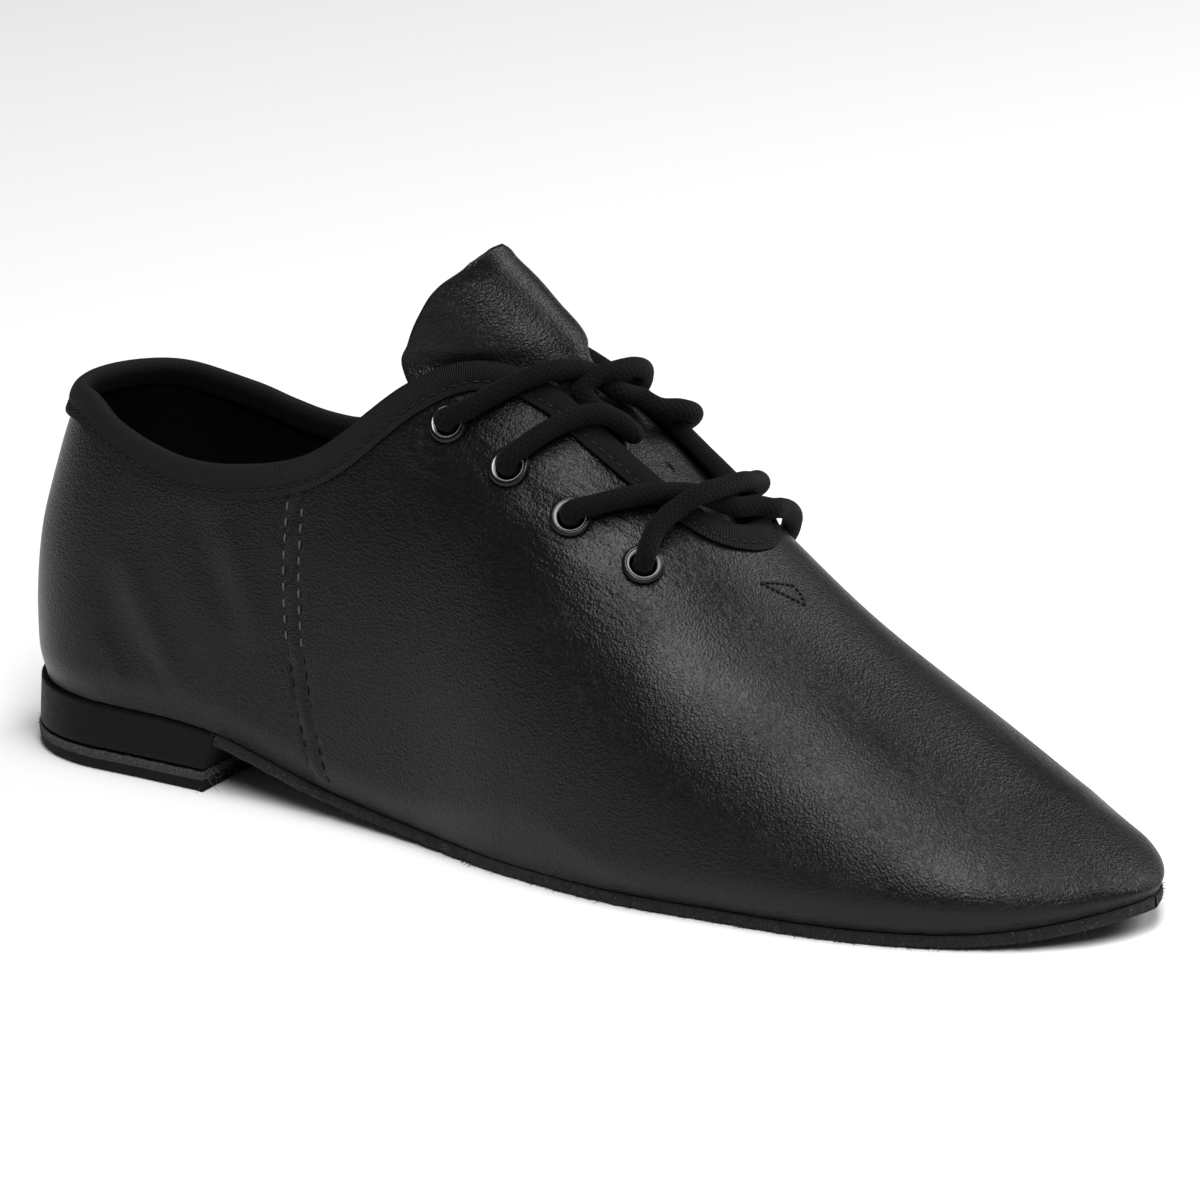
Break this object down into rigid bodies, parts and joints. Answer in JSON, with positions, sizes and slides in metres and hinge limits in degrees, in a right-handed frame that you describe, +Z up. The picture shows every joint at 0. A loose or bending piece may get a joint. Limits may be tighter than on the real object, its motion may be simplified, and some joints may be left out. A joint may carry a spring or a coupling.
{
  "type": "jazz shoe",
  "caption": "Low soft leather lace-up dance shoe with a bound collar and throat, round laces, a thin suede sole and a low heel.",
  "frame": {"origin": "on the floor, under the middle of the heel", "axes": "+X towards the toe, +Y towards the inner side of the foot, +Z up"},
  "size_m": [0.2652, 0.0866, 0.1214],
  "materials": {
    "leather": "soft, fine grained, satin",
    "binding": "ribbed tape, matte",
    "suede": "rough suede, matte",
    "lining": "matte",
    "heel_block": "matte",
    "top_lift": "matte, rough edge",
    "eyelet_metal": "black, glossy",
    "lace": "braided, matte"
  },
  "bodies": {
    "root": {"collar_binding": "binding", "eyelet_inner_1": "eyelet_metal", "eyelet_inner_2": "eyelet_metal", "eyelet_inner_3": "eyelet_metal", "eyelet_inner_4": "eyelet_metal", "eyelet_outer_1": "eyelet_metal", "eyelet_outer_2": "eyelet_metal", "eyelet_outer_3": "eyelet_metal", "eyelet_outer_4": "eyelet_metal", "heel_block": "heel_block", "heel_top_lift": "top_lift", "insole": "lining", "lace_crossing_lower": "lace", "lace_crossing_upper": "lace", "sole": "suede", "tongue": "leather", "upper": "leather"}
  },
  "joints": []
}
